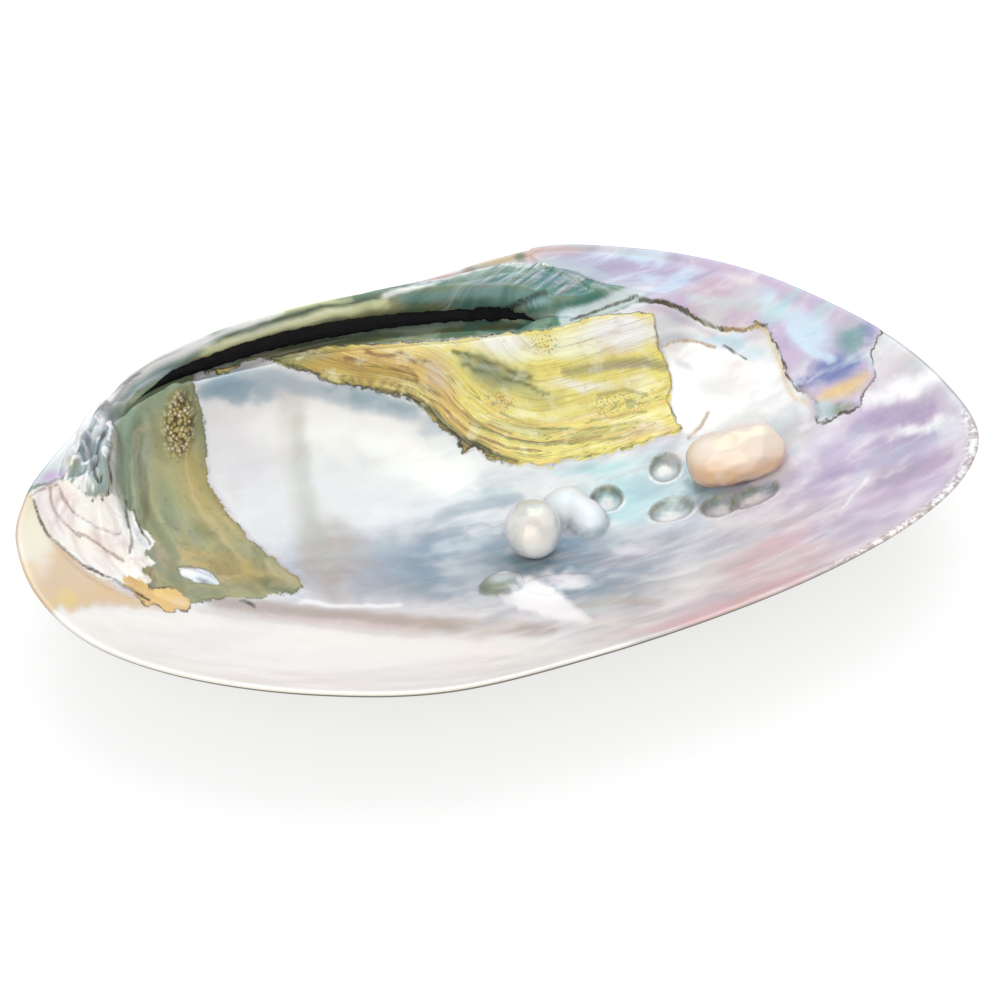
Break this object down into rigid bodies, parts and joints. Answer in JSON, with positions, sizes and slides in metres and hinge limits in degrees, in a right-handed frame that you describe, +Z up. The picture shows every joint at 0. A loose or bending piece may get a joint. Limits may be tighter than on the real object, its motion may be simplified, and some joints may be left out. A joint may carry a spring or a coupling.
{
  "type": "pearl mussel half shell",
  "caption": "Half shell of a freshwater pearl mussel with a pearly bowl, toothed hinge, dried ligament and pearls, resting on its rounded outside.",
  "frame": {"origin": "on the surface that the shell rests on, under the middle of the box around it", "axes": "+X to the tail end along the shell's length, +Y to the hinge side, +Z up out of the bowl"},
  "size_m": [0.1795, 0.111, 0.0286],
  "materials": {
    "nacre_shell": "glossy mother of pearl inside, lilac, blue and green with olive and ochre stains; matt olive brown skin outside",
    "dried_ligament": "dried horny ligament, near black, half matt",
    "white_pearl": "lustrous white pearl",
    "pink_pearl": "lustrous peach and pink pearl, wrinkled at one end"
  },
  "bodies": {
    "root": {"shell": "nacre_shell", "ligament": "dried_ligament", "white_pearl": "white_pearl", "pink_pearl": "pink_pearl"}
  },
  "joints": []
}
